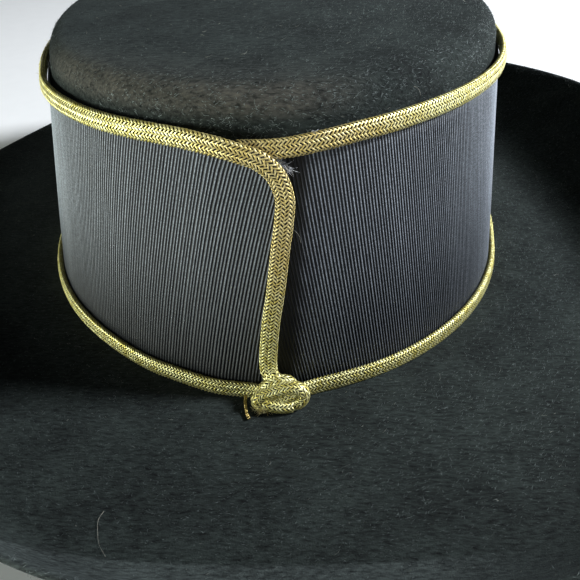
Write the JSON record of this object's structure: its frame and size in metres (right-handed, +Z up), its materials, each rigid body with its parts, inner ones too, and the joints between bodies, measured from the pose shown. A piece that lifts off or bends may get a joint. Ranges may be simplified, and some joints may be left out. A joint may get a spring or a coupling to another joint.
{
  "type": "wide-brim hat",
  "caption": "Wide-brim felt hat with a flat-topped oval crown, a curled-up brim edge, a deep ribbed ribbon band and flat braided cord trim that ends in a front knot.",
  "frame": {"origin": "middle of the hat's box on the surface it rests on, under the crown and a little off the crown's own middle", "axes": "+Z up out of the crown top, -Y towards the wearer's front where the knot is, +X to the right of somebody facing the hat"},
  "size_m": [0.3058, 0.3376, 0.0868],
  "materials": {
    "felt": "black wool felt, brushed nap",
    "ribbon": "dark blue-grey ribbed grosgrain with a soft sheen",
    "cord": "flattened braid of gold metallic thread",
    "wire": "bare gold-coloured wire"
  },
  "bodies": {
    "root": {"felt_body": "felt", "ribbon_band": "ribbon", "edge_cord": "cord", "base_cord": "cord", "front_knot": "cord", "wire_tail": "wire"}
  },
  "joints": []
}
